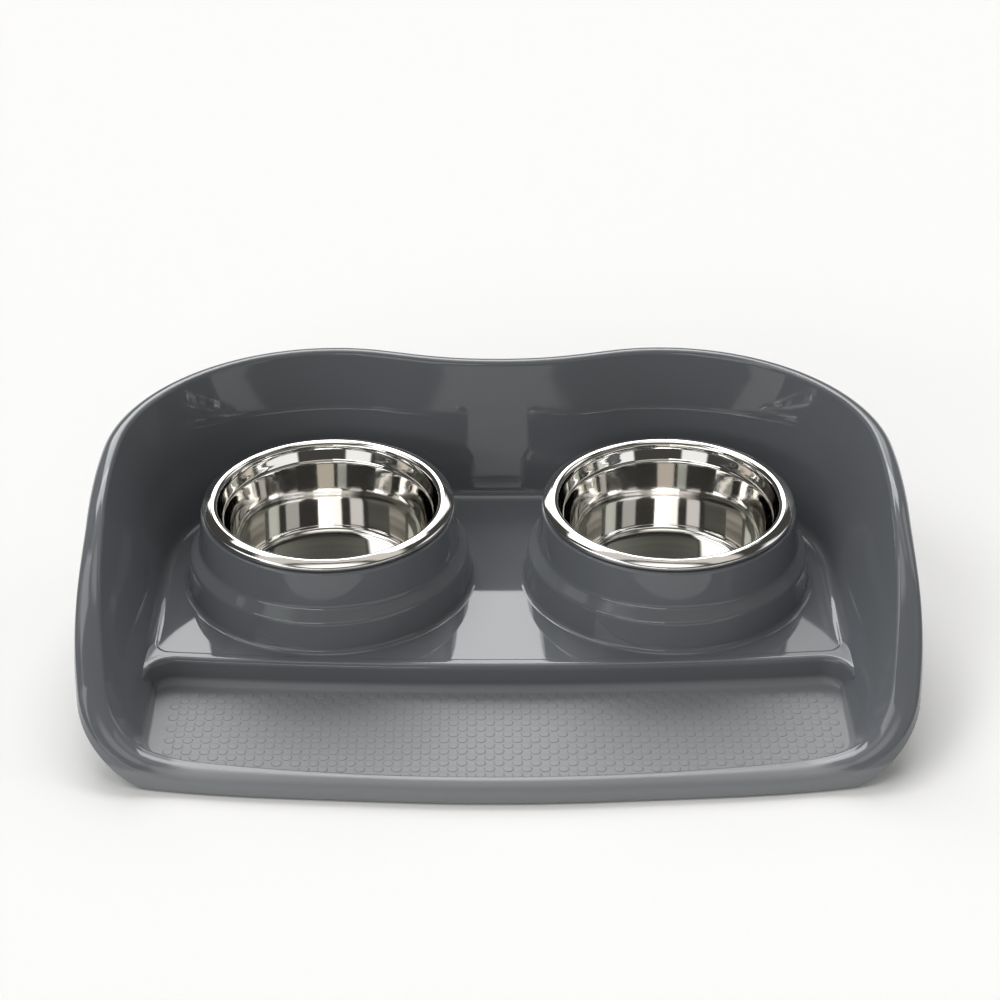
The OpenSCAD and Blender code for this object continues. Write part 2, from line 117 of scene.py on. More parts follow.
def skin(sections, closed):
    """Faces over equal sections: a ring of them, or a run with two end caps."""
    count, width = len(sections), len(sections[0])
    points = np.reshape(sections, (-1, 3))
    faces = []
    for i in range(count if closed else count - 1):
        a, b = i * width, (i + 1) % count * width
        for j in range(width):
            k = (j + 1) % width
            faces.append((a + j, b + j, b + k, a + k))
    if not closed:
        end = (count - 1) * width
        for j in range(width // 2 - 1):
            k = width - 1 - j
            faces.append((j, j + 1, k - 1, k))
            faces.append((end + k, end + k - 1, end + j + 1, end + j))
    return points, faces


def turned(profile, centre, steps):
    """A profile of radius and height, turned about an upright axis."""
    angles = np.arange(steps) * 2 * math.pi / steps
    sections = [
        [(centre[0] + r * math.cos(a), centre[1] + r * math.sin(a), z) for r, z in profile]
        for a in angles
    ]
    return skin(np.array(sections), True)

# %% [markdown]
# Round corners are drawn as a bend: a curve with one handle that leaves one
# straight part and lands softly on the next. Longer sweeps have two handles.
# Blender's own curves could do this, but these are the same formulas that the
# CAD model uses, with more points, so both shapes agree.

# %% Curves
def mix(a, b, t):
    return a + (b - a) * t


def ease(t):
    s = np.clip(t, 0.0, 1.0)
    return s * s * (3 - 2 * s)


def bend(a, k, b, n):
    a, k, b = (np.asarray(p, float) for p in (a, k, b))
    return [mix(mix(a, k, t), mix(k, b, t), t) for t in np.linspace(0, 1, n + 1)]


def curve(a, b, c, d, n):
    a, b, c, d = (np.asarray(p, float) for p in (a, b, c, d))
    out = []
    for t in np.linspace(0, 1, n + 1):
        near = mix(mix(a, b, t), mix(b, c, t), t)
        far = mix(mix(b, c, t), mix(c, d, t), t)
        out.append(mix(near, far, t))
    return out


def arc(centre, radius, start, end, n):
    angles = np.radians(np.linspace(start, end, n + 1))
    return [np.array([centre[0] + radius * math.cos(w), centre[1] + radius * math.sin(w)]) for w in angles]


def straight(a, b, n):
    a, b = np.asarray(a, float), np.asarray(b, float)
    return [mix(a, b, t) for t in np.linspace(0, 1, n + 1)]

# %% [markdown]
# Sizes in millimetres. They repeat the named values of the CAD model, so a
# piece that replaces a solid stands exactly where the solid stands. Plans are
# drawn about the point between the two bowls, and move back by BOWL_Y at the
# end, because the frame's own middle is that of the footprint.

# %% Sizes
BOWL_X, BOWL_Y = 108.4, 33.6
DECK_Z, FLOOR_Z, WALL_T = 26.0, 8.0, 2.5
STEP_Y, STEP_BOW, COVE_X, COVE_R, COVE_FOOT_R = 105.8, 2300.0, 199.0, 18.0, 15.0
STEP_ROUND, STEP_FILLET, STEP_DRAFT, LIP_H = 4.0, 5.0, -0.2, 0.5
RIM_LOW, RIM_HIGH, RIM_DIP = 11.9, 117.7, 0.8
WALL_FILLET, FLOOR_FILLET, BASE_Z = 6.5, 1.4, 2.5
RUNS = (60, 50, 60, 110, 50)    # points along bow, corner, side, round end and back
COVE_STEPS = 48
print("deck over apron:", DECK_Z - FLOOR_Z, "mm")

# %% [markdown]
# The splash wall keeps spilled food on the tray. It is a sweep: its foot
# follows one plan, its rim a wider one, and the wall leans from the first to
# the second. A curve with a bevel would give one section all round, but this
# one changes in height, lean and roll, so its sections are computed. Half of
# each plan runs from the middle of the front to the middle of the back: a long
# bow, a front corner, the side, a round end about the bowl and the hollow of
# the back.

# %% Plans of rim and foot
def half_plan(front, corner_x, back, bow_r, corner_r, lobe_r, side_dir, lobe_start, lobe_end, reach):
    lean = math.degrees(math.asin(corner_x / (bow_r - corner_r)))
    bow = (0.0, bow_r - front)
    corner = np.array([corner_x, bow[1] - (bow_r - corner_r) * math.cos(math.radians(lean))])
    lobe = np.array([BOWL_X, 0.0])

    def way(angle):
        w = math.radians(angle)
        return np.array([math.cos(w), math.sin(w)]), np.array([-math.sin(w), math.cos(w)])

    a = corner + corner_r * way(-side_dir)[0]
    b = lobe + lobe_r * way(lobe_start)[0]
    c = lobe + lobe_r * way(lobe_end)[0]
    side = curve(a, a + reach[0] * way(-side_dir)[1], b - reach[1] * way(lobe_start)[1], b, RUNS[2])
    rear = curve(c, c + reach[2] * way(lobe_end)[1], (reach[3], back), (0.0, back), RUNS[4])
    return np.array(
        arc(bow, bow_r, -90, lean - 90, RUNS[0])[:-1]
        + arc(corner, corner_r, lean - 90, -side_dir, RUNS[1])[:-1]
        + side[:-1]
        + arc(lobe, lobe_r, lobe_start, lobe_end, RUNS[3])[:-1]
        + rear
    )


def whole(half):
    """Adds the mirror image of a half plan, without its two end points."""
    return np.concatenate([half, half[-2:0:-1] * (-1, 1)])


def outward(ring):
    """Unit vectors that point out of a closed plan."""
    d = np.roll(ring, -1, axis=0) - np.roll(ring, 1, axis=0)
    n = np.stack([d[:, 1], -d[:, 0]], axis=1)
    return n / np.linalg.norm(n, axis=1)[:, None]


rim_half = half_plan(
    front=198.8, corner_x=201.6, back=117.5, bow_r=1080.0, corner_r=34.0, lobe_r=131.8,
    side_dir=9.4, lobe_start=5.6, lobe_end=103.0, reach=(49.4, 53.3, 30.0, 36.0),
)
foot_half = half_plan(
    front=194.8, corner_x=190.8, back=91.7, bow_r=1080.0, corner_r=20.0, lobe_r=102.2,
    side_dir=0.0, lobe_start=0.0, lobe_end=105.0, reach=(60.0, 60.0, 30.0, 45.0),
)
rim, foot = whole(rim_half), whole(foot_half)
rim_out, foot_out = outward(rim), outward(foot)
print("stations round the wall:", len(rim))

# %% [markdown]
# The rim is low along the front, where the animal stands, climbs along the
# sides and dips a little in the middle of the back. Its height and the width
# of its roll both depend on how far along the rim a point lies, so both are
# plain functions of that run.

# %% Height and width of the rim
run = np.concatenate([[0.0], np.cumsum(np.linalg.norm(np.diff(rim_half, axis=0), axis=1))])
rise = np.array(curve((178.4, RIM_LOW), (268.3, RIM_LOW), (248.4, RIM_HIGH), (441.4, RIM_HIGH), 200))
dip = np.where(rim_half[:, 1] > 0, RIM_DIP * ease(1 - rim_half[:, 0] / BOWL_X), 0.0)
rim_z_half = np.interp(run, rise[:, 0], rise[:, 1]) - dip
roll_half = mix(
    mix(11.8, 17.0, ease((run - 70) / (215 - 70))), 11.6, ease((run - 262) / (345 - 262))
)


def whole_row(row):
    """The same as whole, for one number to each station."""
    return np.concatenate([row, row[-2:0:-1]])


rim_z, roll_w = whole_row(rim_z_half), whole_row(roll_half)
face_h = whole_row(mix(16.0, 11.0, ease((run - 205) / (235 - 205))))
print("rim height from", round(rim_z.min(), 1), "to", round(rim_z.max(), 1), "mm")

# %% [markdown]
# The step between deck and apron follows a very long bow and ends in a cove
# at either side, where the deck's edge swings forward into the wall. Its edge
# and its foot have coves of their own, so the face between them is not upright
# everywhere.

# %% Plan of the step
step_mid = np.array([0.0, STEP_BOW - STEP_Y])


def cove_middle(radius):
    reach = STEP_BOW + radius
    lean = math.asin(COVE_X / reach)
    return np.array([COVE_X, step_mid[1] - reach * math.cos(lean)]), math.degrees(lean)


def step_run(radius, cove_n=COVE_STEPS, bow_n=60):
    """Stations from left to right: a point on the plan and the way forward."""
    middle, lean = cove_middle(radius)
    right = []
    for w in np.radians(np.linspace(90 + lean, 0, cove_n + 1)):
        way = np.array([math.cos(w), math.sin(w)])
        right.append((middle + radius * way, -way))
    bow = []
    for w in np.radians(np.linspace(-lean, lean, bow_n + 1)[1:-1] - 90):
        way = np.array([math.cos(w), math.sin(w)])
        bow.append((step_mid + STEP_BOW * way, way))
    flip = np.array([-1, 1])
    left = [(p * flip, w * flip) for p, w in reversed(right)]
    return left + bow + right


edge_run, foot_run = step_run(COVE_R), step_run(COVE_FOOT_R)
ear_y = cove_middle(COVE_R)[0][1]
print("coves end", round(-ear_y, 1), "mm in front of the bowls' middles")

# %% [markdown]
# One section of the wall: a hollow where it meets the plate, the leaning
# inside, the rounded inner edge, the roll of the rim, its outer face and the
# way back underneath. The rolled rim stiffens a real tray, and it catches the
# light, so it gets the most points. Near a cove's end the hollow straightens
# out into the wall. All sections have the same number of points, so faces can
# be stretched from each to the next.

# %% Sections of the wall
HOLLOW_END, HOLLOW_RUN = -94.0, 14.0    # where the hollow over the deck runs out
RIM_CREST, RIM_ROUND, ROLL_DROP, ROLL_DRAFT = 0.6, 2.5, 6.5, 0.8


def wall_section(i):
    f, r, n, m = foot[i], rim[i], rim_out[i], foot_out[i]
    z, w = rim_z[i], roll_w[i]
    behind = f[1] > ear_y
    plate = DECK_Z if behind else FLOOR_Z
    tall = z - plate
    hollow = min(WALL_FILLET if behind else FLOOR_FILLET, tall * 0.45)
    bent = float(ease((f[1] - HOLLOW_END) / HOLLOW_RUN if behind else (ear_y - f[1]) / COVE_R))
    low = plate - hollow * 0.25 * (1 - bent)

    def at(p, h):
        return np.array([p[0], p[1], h])

    def on_wall(h):
        return at(mix(f, r, (h - FLOOR_Z) / (z - FLOOR_Z)), h)

    inside, out = at(m, 0.0), at(n, 0.0)
    k, lip = on_wall(low), at(r, z)
    up = (lip - k) / np.linalg.norm(lip - k)
    start = k - mix(up, inside, bent) * hollow - (0, 0, 0.03)
    edge = min(RIM_ROUND, tall * 0.45)
    top = z + RIM_CREST
    side = top - ROLL_DROP
    face = z - min(face_h[i], z - 1.5)
    width = w - ROLL_DRAFT
    points = [at(f, BASE_Z), on_wall(min(FLOOR_Z - 1.2, low - hollow - WALL_T - 0.3)), start - up * WALL_T]
    points += bend(start, k, k + up * hollow, 10)
    points += straight(k + up * hollow, lip - up * edge, 12)[1:-1]
    points += bend(lip - up * edge, at(r, top), at(r, top) + out * edge, 10)
    crest = at(r, top) + out * mix(edge, width, 0.04)
    points += curve(
        crest, at(r, top) + out * mix(edge, width, 0.55),
        at(r, mix(side, top, 0.55)) + out * width, at(r, side) + out * width, 20
    )
    points += straight(at(r, side) + out * width, at(r, face) + out * w, 3)[1:]
    points += [
        at(r, face) + out * (w - WALL_T),
        at(r, side) + out * (width - WALL_T),
        at(r, z - WALL_T) + out * mix(edge, width, 0.5),
        at(r, z - WALL_T) + out * WALL_T,
        at(f, BASE_Z) + inside * WALL_T,
    ]
    return np.array(points) + (0, BOWL_Y, 0)


wall = skin(np.array([wall_section(i) for i in range(len(rim))]), True)
print("points in a section:", len(wall_section(0)))

# %% [markdown]
# The real tray is one moulding, so nothing may show where its parts meet. They
# could be joined with a Boolean modifier, which leaves uneven faces. Instead
# deck, step and apron end hidden inside the wall's thickness: a point that
# would stick out is pulled back to the wall's middle line at its own height.

# %% Keep plates inside the wall
def wall_line(z):
    """The middle of the wall's thickness at one height."""
    share = np.clip((z - FLOOR_Z) / (rim_z - FLOOR_Z), 0.0, 1.0)[:, None]
    ring = foot * (1 - share) + rim * share
    way = foot_out * (1 - share) + rim_out * share
    return ring + way * WALL_T / 2


def inside_ring(p, ring):
    a, b = ring, np.roll(ring, -1, axis=0)
    crosses = (a[:, 1] > p[1]) != (b[:, 1] > p[1])
    x = a[:, 0] + (p[1] - a[:, 1]) * (b[:, 0] - a[:, 0]) / np.where(crosses, b[:, 1] - a[:, 1], 1.0)
    return np.count_nonzero(crosses & (p[0] < x)) % 2 == 1


def pull_in(point):
    """The point itself, or the nearest one on the wall's middle line."""
    ring = wall_line(point[2])
    p = point[:2]
    if inside_ring(p, ring):
        return point
    a, b = ring, np.roll(ring, -1, axis=0)
    d = b - a
    t = np.clip(((p - a) * d).sum(1) / (d * d).sum(1), 0, 1)[:, None]
    near = a + d * t
    best = near[np.argmin(((near - p) ** 2).sum(1))]
    return np.array([best[0], best[1], point[2]])

# %% [markdown]
# The step is a strip of the moulding with a rounded top edge and a hollow
# foot. It is swept like the wall: one outline of the sheet, 2.5 mm thick, is
# set on each station of the plan. A bevel on a box could not follow the coves,
# where the hollow shrinks and the outline turns.

# %% The step
STEP_BACK, STEP_TIP = -5.8, -6.4    # the strip's back end, under the pan's lip


def step_outline(hollow):
    top, foot_at = DECK_Z + LIP_H, STEP_DRAFT + hollow
    return (
        [np.array([STEP_TIP, top - 0.02]), np.array([STEP_BACK, top])]
        + bend((-STEP_ROUND, top), (0.0, top), (0.0, top - STEP_ROUND), 12)
        + bend((STEP_DRAFT, FLOOR_Z + hollow), (STEP_DRAFT, FLOOR_Z), (foot_at, FLOOR_Z), 12)
        + [np.array([foot_at + WALL_T, FLOOR_Z - 0.02]), np.array([foot_at + WALL_T, FLOOR_Z - 2.4])]
        + bend((foot_at, FLOOR_Z - WALL_T), (-1.0, FLOOR_Z - WALL_T), (-1.0, FLOOR_Z + hollow), 12)
        + bend((-WALL_T, DECK_Z - 2 * WALL_T), (-WALL_T, DECK_Z - WALL_T), (-2 * WALL_T, DECK_Z - WALL_T), 12)
        + [np.array([STEP_BACK, DECK_Z - WALL_T]), np.array([STEP_TIP, DECK_Z - 2.4])]
    )


def foot_hollow(i):
    """The radius at the step's foot, which shrinks along each cove."""
    share = max(COVE_STEPS - i, i + COVE_STEPS + 1 - len(foot_run)) / COVE_STEPS
    return float(mix(STEP_FILLET, FLOOR_FILLET, ease(share)))


step_sections = []
for i, (edge_at, foot_at) in enumerate(zip(edge_run, foot_run)):
    row = []
    for q in step_outline(foot_hollow(i)):
        down = np.clip((DECK_Z - q[1]) / (DECK_Z - FLOOR_Z), 0, 1)
        place, way = mix(edge_at[0], foot_at[0], down), mix(edge_at[1], foot_at[1], down)
        way = way / np.linalg.norm(way)
        row.append(pull_in(np.array([*(place + way * q[0]), q[1]])))
    step_sections.append(np.array(row) + (0, BOWL_Y, 0))
step = skin(np.array(step_sections), False)
print("step:", len(step_sections), "sections of", len(step_sections[0]), "points")

# %% [markdown]
# The deck is a very shallow pan that holds a spill back. A low lip, half a
# millimetre high, rises round its front and its two front corners, and between
# a corner and the wall the lip widens into a small flat ear that meets the
# cove. So low a lip could be a bump in the material, but its bright line has
# to stand still when the view turns, so it is real geometry.

# %% Lip of the pan
PAN_X, PAN_CORNER_R, PAN_BACK, LIP_RUN = 211.5, 9.0, 8.0, 1.8


def pan_line(offset):
    """Half of the pan's front edge, from its side round the corner to the middle."""
    middle, reach = step_mid, STEP_BOW - PAN_BACK + offset
    x = PAN_X - PAN_CORNER_R
    y = middle[1] - math.sqrt((reach - PAN_CORNER_R - offset) ** 2 - x * x)
    lean = math.degrees(math.asin(x / (reach - PAN_CORNER_R - offset)))
    corner = arc((x, y), PAN_CORNER_R + offset, 0, lean - 90, 16)
    bow = arc(middle, reach, lean - 90, -90, 40)[1:]
    side = straight((PAN_X + offset, -40.0), (PAN_X + offset, y), 6)[:-1]
    return side + corner + bow


def both_sides(half):
    """An open line from one side to the other, from its right half."""
    half = np.array(half)
    return np.concatenate([half, half[-2::-1] * (-1, 1)])


lip_rings = [(-0.8, -0.02)] + [(LIP_RUN * t, LIP_H * float(ease(t))) for t in np.linspace(0, 1, 7)]
lip_rings += [(LIP_RUN + 0.8, LIP_H - 0.02), (LIP_RUN + 0.8, -1.2), (-0.8, -1.2)]
lip_lines = np.array([[(*q, DECK_Z + up) for q in both_sides(pan_line(out))] for out, up in lip_rings])
lip_sections = lip_lines.transpose(1, 0, 2)
lip = skin(np.array([[pull_in(q) for q in row] for row in lip_sections]) + (0, BOWL_Y, 0), False)
print("lip:", len(lip_sections), "sections")

# %% [markdown]
# Deck and apron are flat plates with curved outlines. The deck has a round
# hole under each collar. One large face can't have a hole, so its top is
# filled with triangles that go round them, and because it is flat the
# triangles don't show.

# %% Flat plates
def plate(outline, holes, top, bottom):
    """A flat plate between two heights, with round holes."""
    loops = [outline] + holes
    flat = [[Vector((p[0], p[1], 0.0)) for p in loop] for loop in loops]
    triangles = tessellate_polygon(flat)
    plan = np.concatenate(loops)
    count = len(plan)
    points = np.concatenate([
        np.column_stack([plan, np.full(count, top)]), np.column_stack([plan, np.full(count, bottom)])
    ])
    faces = []
    for a, b, c in triangles:
        pa, pb, pc = plan[a], plan[b], plan[c]
        turn = np.cross(pb - pa, pc - pa)
        if turn < 0:
            b, c = c, b
        faces += [(a, b, c), (count + c, count + b, count + a)]
    start = 0
    for number, loop in enumerate(loops):
        n = len(loop)
        area = sum(loop[j][0] * loop[(j + 1) % n][1] - loop[(j + 1) % n][0] * loop[j][1] for j in range(n))
        forward = (area > 0) == (number == 0)
        for j in range(n):
            a, b = start + j, start + (j + 1) % n
            if not forward:
                a, b = b, a
            faces.append((a, count + a, count + b, b))
        start += n
    return points + (0, BOWL_Y, 0), faces


def plate_outline(edge, ring, behind):
    """The step's side of a plate, closed along the wall's middle line."""
    edge = np.array([q for q in edge if inside_ring(q, ring)])
    half = len(rim_half)
    if behind:
        right = [q for q in ring[:half] if q[1] > edge[-1][1]]
        left = [q for q in ring[half:] if q[1] > edge[0][1]]
        return np.array([*edge, *right, *left])
    right = [q for q in ring[:half] if q[1] < edge[-1][1]]
    left = [q for q in ring[half:] if q[1] < edge[0][1]]
    return np.array([*edge, *right[::-1], *left[::-1]])

# %% Deck, ears and apron
DECK_BACK, EAR_BACK, EAR_END = 6.2, 4.2, -70.0    # the first two lie behind the step's edge
COLLAR_R, LAP = 91.6, 1.2    # LAP is how far a plate reaches under its neighbour
deck_edge = [p - w * DECK_BACK for p, w in edge_run]
floor_edge = [p + w * (STEP_DRAFT + foot_hollow(i) + LAP) for i, (p, w) in enumerate(foot_run)]
deck_outline = plate_outline(deck_edge, wall_line(DECK_Z), True)
floor_outline = plate_outline(floor_edge, wall_line(FLOOR_Z), False)
ear_ring = wall_line(DECK_Z)
ear_edge = [p - w * EAR_BACK for p, w in edge_run[-COVE_STEPS - 1:]]
ear_edge = [q for q in ear_edge if inside_ring(q, ear_ring)]
ear_side = [q for q in ear_ring[:len(rim_half)] if ear_edge[-1][1] < q[1] < EAR_END]
ear_back = [q for q in pan_line(LIP_RUN + 0.3) if q[1] < EAR_END and q[0] > ear_edge[0][0] - 0.1]
ear_outline = np.array([*ear_edge, *ear_side, *ear_back])
ears = [plate(ear_outline * (s, 1), [], DECK_Z + LIP_H - 0.01, DECK_Z - 1.0) for s in (1, -1)]
holes = [np.array(arc((s * BOWL_X, 0.0), COLLAR_R + LAP, 0, 360, 160)[:-1]) for s in (-1, 1)]
deck = plate(deck_outline, holes, DECK_Z, DECK_Z - WALL_T)
apron = plate(floor_outline, [], FLOOR_Z, FLOOR_Z - WALL_T)
print("deck outline:", len(deck_outline), "points; apron outline:", len(floor_outline))

# %% [markdown]
# Each collar is a turned shape: a flat ring that carries the bowl's bead, a
# slightly flared drum, a rounded ledge and a skirt that runs into the deck. A
# Screw modifier could turn it, but the same skin of sections as above does,
# and the roundings stay in one list that can be read from top to bottom.

# %% Collars
def collar_profile():
    top = 77.3
    drum, ledge, skirt = np.array([83.0, 53.6]), np.array([89.4, 46.5]), np.array([COLLAR_R, DECK_Z])
    down = (ledge - drum) / np.linalg.norm(ledge - drum)
    return (
        [np.array([71.3, top])]
        + bend((79.2, top), (81.0, top), (81.0, top - 1.8), 8)
        + straight((81.0, top - 1.8), drum + (-0.1, 2.2), 8)[1:-1]
        + bend(drum + (-0.1, 2.2), drum, drum + down * 2.2, 10)
        + bend(ledge - down * 2.0, ledge, ledge - (-0.2, 2.0), 12)
        + straight(ledge - (-0.2, 2.0), skirt + (-0.3, 3.6), 6)[1:-1]
        + bend(skirt + (-0.3, 3.6), skirt, skirt + (3.6, -0.02), 14)
        + [
            skirt + (3.6, -2.4), skirt + (0, -WALL_T), skirt + (-WALL_T, WALL_T),
            ledge - (WALL_T, WALL_T), drum - (WALL_T, WALL_T),
            np.array([81.0 - WALL_T, top - WALL_T]), np.array([71.3 + WALL_T, top - WALL_T]),
            np.array([71.3 + WALL_T, top - 9.0]), np.array([71.3, top - 9.0]),
        ]
    )


collars = [turned(collar_profile(), (s * BOWL_X, BOWL_Y), 240) for s in (-1, 1)]
tray = make_piece("tray_moulding", [wall, step, lip, deck, apron] + ears + collars)

# %% [markdown]
# A bowl is pressed from one steel sheet and its edge is rolled into a bead.
# It is turned too: up the inside from the middle, over the bead, and back
# down the outside. Polished steel shows every change of slope, so the bead is
# not a plain half circle: it has a tight inner rounding, a broad land that
# leans out, and a second rounding down to its edge.

# %% Bowls
def bowl_profile():
    crown, bead, mouth, outer = 83.2, 80.0, 70.0, 80.0
    crest = mix(outer, mouth, 0.62)
    land_in, land_out = np.array([74.8, crown - 0.25]), np.array([78.4, crown - 1.6])
    band_z, disc_z, ring_z = crown - 11.5, crown - 60.5, crown - 59.5
    shoulder, foot_at = np.array([66.4, band_z - 0.8]), np.array([58.5, ring_z])
    slope = (shoulder - foot_at) / np.linalg.norm(shoulder - foot_at)
    band = np.array([67.2, band_z])
    t = 0.8    # the sheet's thickness
    inside = (
        straight((0.0, disc_z), (54.6, disc_z), 24)
        + bend((54.6, disc_z), (55.6, disc_z), (55.9, ring_z - 0.4), 4)[1:]
        + bend((55.9, ring_z - 0.4), (56.0, ring_z), (56.4, ring_z), 3)[1:]
        + bend(foot_at - (2.0, 0), foot_at, foot_at + slope * 4.5, 12)
        + straight(foot_at + slope * 4.5, shoulder - slope * 1.2, 16)[1:-1]
        + bend(shoulder - slope * 1.2, shoulder, mix(shoulder, band, 0.5), 4)
        + bend(mix(shoulder, band, 0.5), band, band + (0.34, 1.0), 4)[1:]
        + straight(band + (0.34, 1.0), (69.9, bead - 0.6), 6)[1:-1]
    )
    roll = (
        curve(
            (mouth, bead), (mouth, mix(bead, crown, 0.55)),
            (mix(crest, mouth, 0.55), crown), (crest, crown), 18
        )
        + curve((crest, crown), (crest + 0.5, crown), land_in - (0.35, -0.1), land_in, 6)[1:]
        + curve(land_in, land_in + (1.2, -0.35), land_out - (1.2, -0.55), land_out, 10)[1:]
        + curve(land_out, land_out + (0.9, -0.41), (outer, bead + 0.9), (outer, bead), 12)[1:]
        + bend((outer, bead), (outer, bead - 2.4), (outer - 2.4, bead - 2.4), 8)[1:]
    )
    back = [
        np.array([mouth + t, bead - 2.4]), band + (t, 0), shoulder + (t, -t / 2),
        *bend(foot_at + slope * 4.5 + (t, 0), foot_at + (t, -t), foot_at + (-4.5, -t), 8),
        np.array([56.5, ring_z - t]), np.array([56.0, disc_z - t]), np.array([0.0, disc_z - t]),
    ]
    return inside + roll + back


def turned_solid(profile, centre, steps):
    """Turns a profile that starts and ends on the axis, with one point at each pole."""
    inner = profile[1:-1]
    points, faces = turned(inner, centre, steps)
    width = len(inner)
    keep = [f for f in faces if f[0] % width != width - 1]
    first, last = len(points), len(points) + 1
    points = np.vstack([points, (*centre, profile[0][1]), (*centre, profile[-1][1])])
    for i in range(steps):
        a, b = i * width, (i + 1) % steps * width
        keep.append((first, b, a))
        keep.append((last, a + width - 1, b + width - 1))
    return points, keep


SIDES = (("left", -1), ("right", 1))
bowls = {
    side: make_piece("steel_bowl_" + side, [turned_solid(bowl_profile(), (s * BOWL_X, BOWL_Y), 360)])
    for side, s in SIDES
}

# %% [markdown]
# The apron is covered with low studs in staggered rows, which keep a cup or a
# paw from sliding. They could be a bump in the material, but from the side
# they have real edges. They repeat, so Geometry Nodes make them: a lattice of
# points, kept only where a flat plan of the studded field lies under them,
# with one stud set on each.

# %% Field of the studs
stud_edge = [p + w * (STEP_DRAFT + foot_hollow(i) - 1.0) for i, (p, w) in enumerate(foot_run)]
field = plate_outline(stud_edge, wall_line(FLOOR_Z) - foot_out * (WALL_T / 2 + 1.5), False)
field_mesh = bpy.data.meshes.new("stud_field")
field_points = [(*(q + (0, BOWL_Y)) * MM, FLOOR_Z * MM) for q in field]
field_mesh.from_pydata(field_points, [], [tuple(range(len(field)))])
studs = bpy.data.objects.new("apron_studs", field_mesh)
scene.collection.objects.link(studs)
print("studded field:", round(np.ptp(field[:, 0])), "by", round(np.ptp(field[:, 1])), "mm")

# %% Helpers for node trees
def new_socket(tree, title, kind, value=None, way="INPUT"):
    """A named input or output on a group; kind is Float, Int, Vector, Color and so on."""
    socket = tree.interface.new_socket(title, in_out=way, socket_type="NodeSocket" + kind)
    if value is not None:
        socket.default_value = value


def maths(tree, operation, a, b=0.0):
    """A Math node on sockets or plain numbers. Returns its output."""
    node = tree.nodes.new("ShaderNodeMath")
    node.operation = operation
    for slot, value in enumerate((a, b)):
        if isinstance(value, (int, float)):
            node.inputs[slot].default_value = value
        else:
            tree.links.new(value, node.inputs[slot])
    return node.outputs[0]

# %% [markdown]
# The tree's inputs carry the sizes. The pitches were counted on the real
# object: the rows are 5.8 mm apart and every second row is shifted by half of
# the 11 mm between two studs.

# %% Inputs of the stud tree
STUD_SIDES = 14
STUD_SIZES = (
    ("Pitch Across", 11.0), ("Pitch Back", 5.8), ("Half Width", 198.0), ("Front", -158.1),
    ("Floor", FLOOR_Z), ("Stud Radius", 3.35), ("Stud Height", 0.22),
)


def stud_inputs(tree):
    new_socket(tree, "Field", "Geometry")
    for title, value in STUD_SIZES:
        new_socket(tree, title, "Float", value * MM)
    for title, value in (("Columns", 37), ("Rows", 15)):
        new_socket(tree, title, "Int", value)
    new_socket(tree, "Material", "Material")
    new_socket(tree, "Studs", "Geometry", way="OUTPUT")

# %% [markdown]
# A point's own number gives its row and column. A ray straight down then tells
# whether the studded field lies under the point, and the others are deleted.

# %% Places of the studs
def stud_lattice(tree, source):
    nodes, link = tree.nodes, tree.links.new
    size = source.outputs
    index = nodes.new("GeometryNodeInputIndex").outputs[0]
    row = maths(tree, "FLOOR", maths(tree, "DIVIDE", index, size["Columns"]))
    column = maths(tree, "SUBTRACT", index, maths(tree, "MULTIPLY", row, size["Columns"]))
    shift = maths(tree, "MULTIPLY", maths(tree, "MODULO", row, 2.0), 0.5)
    x = maths(tree, "MULTIPLY", maths(tree, "ADD", column, shift), size["Pitch Across"])
    x = maths(tree, "SUBTRACT", x, size["Half Width"])
    y = maths(tree, "ADD", maths(tree, "MULTIPLY", row, size["Pitch Back"]), size["Front"])
    place = nodes.new("ShaderNodeCombineXYZ")
    link(x, place.inputs[0])
    link(y, place.inputs[1])
    link(size["Floor"], place.inputs[2])
    lattice = nodes.new("GeometryNodePoints")
    link(maths(tree, "MULTIPLY", size["Columns"], size["Rows"]), lattice.inputs["Count"])
    link(place.outputs[0], lattice.inputs["Position"])
    return lattice.outputs[0]


def trim_to_field(tree, source, points):
    nodes, link = tree.nodes, tree.links.new
    above = nodes.new("ShaderNodeVectorMath")
    above.operation = "ADD"
    link(nodes.new("GeometryNodeInputPosition").outputs[0], above.inputs[0])
    above.inputs[1].default_value = (0.0, 0.0, 50 * MM)
    ray = nodes.new("GeometryNodeRaycast")
    link(source.outputs["Field"], ray.inputs["Target Geometry"])
    link(above.outputs[0], ray.inputs["Source Position"])
    ray.inputs["Ray Direction"].default_value = (0.0, 0.0, -1.0)
    outside = nodes.new("FunctionNodeBooleanMath")
    outside.operation = "NOT"
    link(ray.outputs["Is Hit"], outside.inputs[0])
    trimmed = nodes.new("GeometryNodeDeleteGeometry")
    trimmed.domain = "POINT"
    link(points, trimmed.inputs["Geometry"])
    link(outside.outputs[0], trimmed.inputs["Selection"])
    return trimmed.outputs[0]

# %% [markdown]
# A stud is a stack of three short cones between two caps, so that its edge is
# soft. Its lowest part stands below the floor, where it can't show. The cones
# are sewn together before they are shaded smooth.

# %% Shape of one stud
def lifted(tree, source, geometry, lift):
    """Moves a part up by a share of the stud's height."""
    move, up = tree.nodes.new("GeometryNodeTransform"), tree.nodes.new("ShaderNodeCombineXYZ")
    tree.links.new(maths(tree, "MULTIPLY", source.outputs["Stud Height"], lift), up.inputs[2])
    tree.links.new(geometry, move.inputs["Geometry"])
    tree.links.new(up.outputs[0], move.inputs["Translation"])
    return move.outputs[0]


